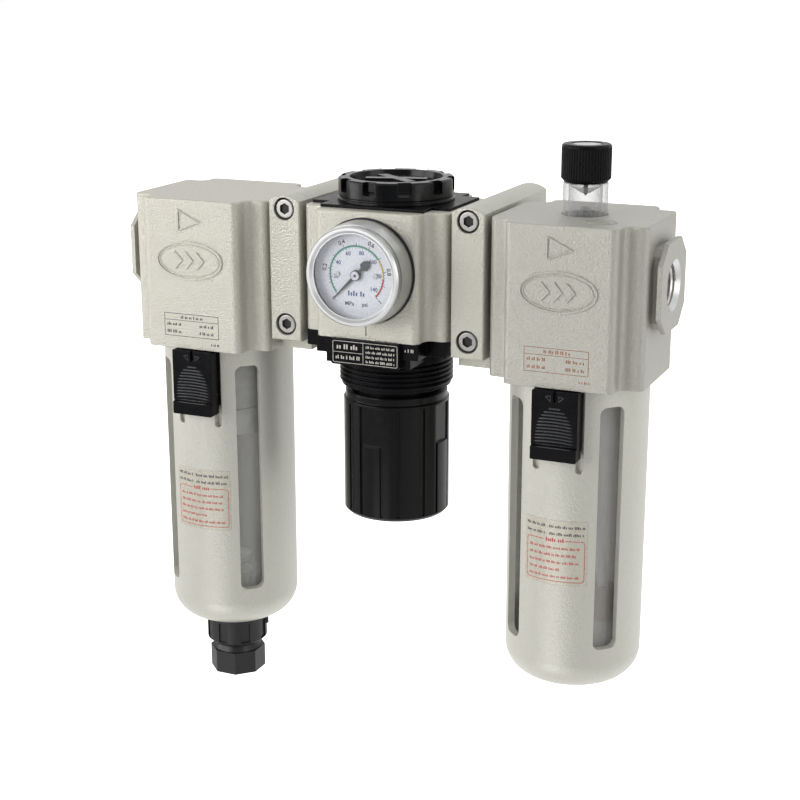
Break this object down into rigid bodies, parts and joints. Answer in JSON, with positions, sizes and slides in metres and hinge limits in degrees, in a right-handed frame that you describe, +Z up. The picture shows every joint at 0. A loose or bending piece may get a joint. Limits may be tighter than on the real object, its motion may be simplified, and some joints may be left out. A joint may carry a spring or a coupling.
{
  "type": "filter regulator lubricator",
  "caption": "Air preparation unit: filter, pressure regulator with dial gauge and hanging knob, and oil-mist lubricator, clamped in a row on wall brackets.",
  "frame": {"origin": "on the wall plane, level with the port axis, midway between the brackets and behind the regulator", "axes": "+X along the port axis with the air flow, +Y into the wall, +Z up"},
  "size_m": [0.2326, 0.0948, 0.2468],
  "materials": {
    "body_paint": "satin textured enamel on die-cast aluminium",
    "body_paint_cool": "satin textured enamel on die-cast aluminium",
    "guard_paint": "smooth satin enamel on aluminium",
    "bracket_paint": "satin enamel on die-cast aluminium",
    "black_plastic": "satin moulded",
    "black_gloss": "semi-gloss moulded",
    "charcoal_plastic": "satin moulded",
    "clear_plastic": "clear polycarbonate",
    "white_plastic": "moulded",
    "element_white": "sintered",
    "steel": "zinc-plated",
    "spring_steel": "drawn wire",
    "bronze": "sintered bronze",
    "brass": "turned",
    "rubber": "moulded",
    "gauge_metal": "silver satin",
    "dial_white": "printed",
    "needle_black": "satin",
    "lens": "clear"
  },
  "bodies": {
    "fixed_row": {"filter_body": "body_paint", "filter_deflector": "white_plastic", "filter_element": "element_white", "filter_baffle": "white_plastic", "regulator_body": "body_paint", "regulator_top_lid": "black_plastic", "regulator_valve_cap": "black_gloss", "regulator_cap_seal": "rubber", "regulator_valve_spring": "spring_steel", "regulator_diaphragm": "rubber", "regulator_bonnet": "black_plastic", "regulator_main_spring": "spring_steel", "gauge_seat_ring": "rubber", "gauge_case": "gauge_metal", "gauge_bezel": "gauge_metal", "gauge_lens": "lens", "gauge_dial": "dial_white", "gauge_movement": "brass", "gauge_dial_screws": "steel", "lubricator_body": "body_paint_cool", "lubricator_tube_holder": "white_plastic", "lubricator_pickup_tube": "clear_plastic", "lubricator_pickup_filter": "bronze", "lubricator_drip_nozzle": "clear_plastic", "lubricator_sight_dome": "clear_plastic", "lubricator_dome_seal": "rubber", "left_bracket": "bracket_paint", "left_clamp_plate": "bracket_paint", "left_clamp_screws": "steel", "left_port_seals": "rubber", "right_bracket": "bracket_paint", "right_clamp_plate": "bracket_paint", "right_clamp_screws": "steel", "right_port_seals": "rubber"},
    "filter_bowl_unit": {"filter_bowl_guard": "guard_paint", "filter_bowl": "clear_plastic", "filter_bowl_seal": "rubber", "filter_drain_housing": "white_plastic", "filter_drain_stem": "steel", "filter_drain_collar": "charcoal_plastic", "filter_latch_spring": "spring_steel"},
    "filter_latch": {"filter_latch": "black_plastic"},
    "filter_drain_valve": {"filter_drain_valve": "white_plastic"},
    "filter_drain_knob": {"filter_drain_knob": "charcoal_plastic"},
    "valve_unit": {"regulator_valve": "brass", "regulator_diaphragm_plate": "steel"},
    "adjusting_screw": {"regulator_adjusting_screw": "steel"},
    "regulator_knob": {"regulator_knob": "black_gloss"},
    "spring_nut": {"regulator_spring_nut": "brass"},
    "gauge_needle": {"gauge_needle": "needle_black"},
    "lubricator_bowl_unit": {"lubricator_bowl_guard": "guard_paint", "lubricator_bowl": "clear_plastic", "lubricator_bowl_seal": "rubber", "lubricator_latch_spring": "spring_steel"},
    "lubricator_latch": {"lubricator_latch": "black_plastic"},
    "lubricator_cap": {"lubricator_adjusting_cap": "black_plastic", "lubricator_cap_disc": "white_plastic"},
    "flow_vane": {"lubricator_flow_vane": "rubber"}
  },
  "joints": [
    {"name": "filter_bowl_twist", "type": "hinge", "parent": "fixed_row", "child": "filter_bowl_unit", "pos_m": [-0.08, -0.051, -0.06], "axis": [0, 0, 1], "range_deg": [0, 45]},
    {"name": "filter_latch_slide", "type": "slide", "parent": "filter_bowl_unit", "child": "filter_latch", "axis": [0, 0, -1], "range_m": [0, 0.005], "stiffness_N_per_m": 300, "springref_m": -0.003, "deforming": ["filter_latch_spring"]},
    {"name": "filter_drain_valve_lift", "type": "slide", "parent": "filter_bowl_unit", "child": "filter_drain_valve", "axis": [0, 0, 1], "range_m": [0, 0.003]},
    {"name": "filter_drain_turn", "type": "hinge", "parent": "filter_bowl_unit", "child": "filter_drain_knob", "pos_m": [-0.08, -0.051, -0.188], "axis": [0, 0, 1], "range_deg": [0, 90]},
    {"name": "valve_lift", "type": "slide", "parent": "fixed_row", "child": "valve_unit", "axis": [0, 0, 1], "range_m": [0, 0.0015], "stiffness_N_per_m": 500, "springref_m": -0.004, "deforming": ["regulator_valve_spring", "regulator_diaphragm"]},
    {"name": "screw_turn", "type": "hinge", "parent": "fixed_row", "child": "adjusting_screw", "pos_m": [0, -0.051, -0.06], "axis": [0, 0, 1], "range_deg": [0, 1800]},
    {"name": "knob_pull", "type": "slide", "parent": "adjusting_screw", "child": "regulator_knob", "axis": [0, 0, -1], "range_m": [0, 0.004]},
    {"name": "nut_travel", "type": "slide", "parent": "fixed_row", "child": "spring_nut", "axis": [0, 0, 1], "range_m": [0, 0.0075], "deforming": ["regulator_main_spring"]},
    {"name": "needle_swing", "type": "hinge", "parent": "fixed_row", "child": "gauge_needle", "pos_m": [0, -0.0904, 0.0018], "axis": [0, 1, 0], "range_deg": [0, 270], "stiffness_Nm_per_rad": 0.00005, "springref_deg": -17.19},
    {"name": "lubricator_bowl_twist", "type": "hinge", "parent": "fixed_row", "child": "lubricator_bowl_unit", "pos_m": [0.08, -0.051, -0.06], "axis": [0, 0, 1], "range_deg": [0, 45]},
    {"name": "lubricator_latch_slide", "type": "slide", "parent": "lubricator_bowl_unit", "child": "lubricator_latch", "axis": [0, 0, -1], "range_m": [0, 0.005], "stiffness_N_per_m": 300, "springref_m": -0.003, "deforming": ["lubricator_latch_spring"]},
    {"name": "drip_adjust", "type": "hinge", "parent": "fixed_row", "child": "lubricator_cap", "pos_m": [0.08, -0.051, 0.045], "axis": [0, 0, 1], "range_deg": [0, 360]},
    {"name": "vane_swing", "type": "hinge", "parent": "fixed_row", "child": "flow_vane", "pos_m": [0.08, -0.051, 0.0056], "axis": [0, -1, 0], "range_deg": [0, 50]}
  ],
  "couplings": [
    {"joint": "screw_turn", "follows": "nut_travel", "rad_per_m": 4188.8}
  ]
}
